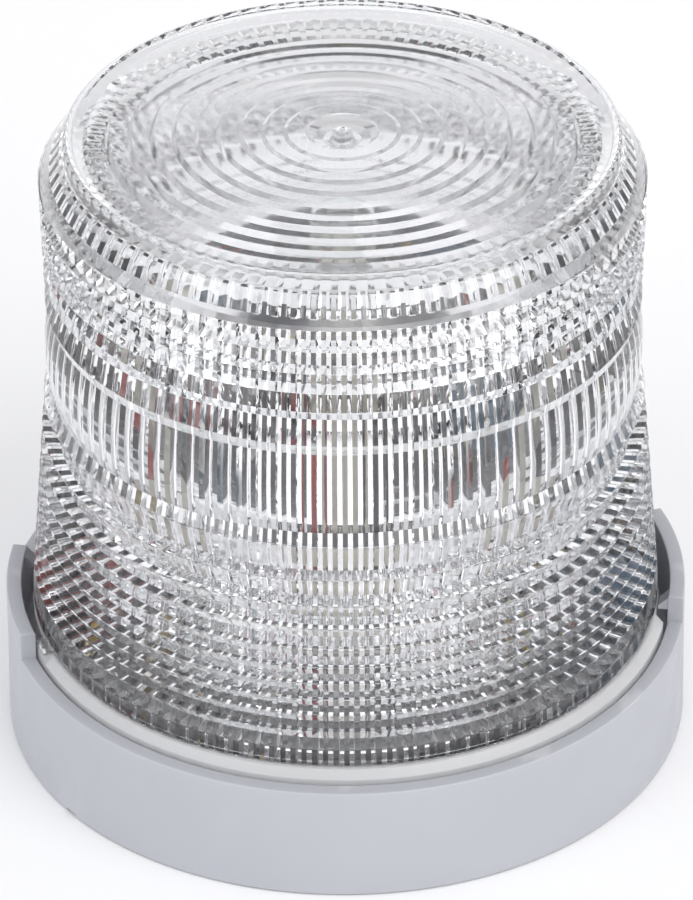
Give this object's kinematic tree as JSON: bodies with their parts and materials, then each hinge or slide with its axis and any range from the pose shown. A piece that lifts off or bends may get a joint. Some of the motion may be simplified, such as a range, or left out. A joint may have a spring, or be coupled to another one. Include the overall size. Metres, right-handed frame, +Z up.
{
  "type": "horn strobe",
  "caption": "Round fire alarm beacon: clear ribbed twist-off strobe lens on a grey base that holds the flash tube, its circuit board and a piezo horn.",
  "frame": {"origin": "centre of the base's underside", "axes": "+Z up along the lens axis, the terminal block faces -Y, the lens's guard tabs lie to -X and +X"},
  "size_m": [0.133, 0.133, 0.1281],
  "materials": {
    "grey_plastic": "satin moulded",
    "clear_polycarbonate": "clear, polished prisms",
    "clear_glass": "clear",
    "black_plastic": "satin",
    "black_rubber": "matte",
    "grey_foam": "closed-cell foam",
    "board_laminate": "black solder mask",
    "white_silicone": "moulded silicone",
    "plated_steel": "bright plated",
    "aluminium": "extruded",
    "brass": "rolled sheet",
    "blue_sleeve": "shrink sleeve",
    "red_epoxy": "dipped epoxy",
    "ferrite": "sintered",
    "yellow_tape": "polyester tape",
    "cream_ceramic": "unglazed",
    "white_plastic": "satin",
    "piezo_ceramic": "silvered",
    "red_sleeve": "silicone sleeve",
    "black_sleeve": "silicone sleeve"
  },
  "bodies": {
    "base": {"base_housing": "grey_plastic", "board_screw_1": "plated_steel", "board_screw_2": "plated_steel", "board_screw_3": "plated_steel", "board_screw_4": "plated_steel", "cable_grommet": "black_rubber", "circuit_board": "board_laminate", "film_capacitor": "red_epoxy", "filter_capacitor": "ferrite", "flash_tube": "clear_glass", "flasher_chip": "black_plastic", "fuse_cap_1": "plated_steel", "fuse_cap_2": "plated_steel", "fuse_tube": "clear_glass", "heat_sink": "aluminium", "horn_cap": "black_plastic", "horn_cup": "black_plastic", "horn_diaphragm": "brass", "horn_piezo_element": "piezo_ceramic", "mounting_gasket": "grey_foam", "power_transistor": "black_plastic", "rectifier_diode": "black_plastic", "selector_switch": "black_plastic", "storage_capacitor": "blue_sleeve", "terminal_block": "black_plastic", "terminal_screw_1": "plated_steel", "terminal_screw_2": "plated_steel", "terminal_screw_3": "plated_steel", "terminal_screw_4": "plated_steel", "transformer_core": "ferrite", "transformer_winding": "yellow_tape", "trigger_transformer": "yellow_tape", "trigger_wire": "plated_steel", "tube_lead_black": "black_sleeve", "tube_lead_red": "red_sleeve", "tube_post": "cream_ceramic"},
    "lens_seal": {"lens_gasket": "white_silicone"},
    "lens": {"lens": "clear_polycarbonate"},
    "selector": {"selector_knob": "white_plastic"}
  },
  "joints": [
    {"name": "lens_lift", "type": "slide", "parent": "base", "child": "lens_seal", "axis": [0, 0, 1], "range_m": [0, 0.13]},
    {"name": "lens_twist", "type": "hinge", "parent": "lens_seal", "child": "lens", "pos_m": [0, 0, 0.0155], "axis": [0, 0, 1], "range_deg": [0, 12]},
    {"name": "selector_slide", "type": "slide", "parent": "base", "child": "selector", "axis": [1, 0, 0], "range_m": [-0.002, 0.002]}
  ]
}
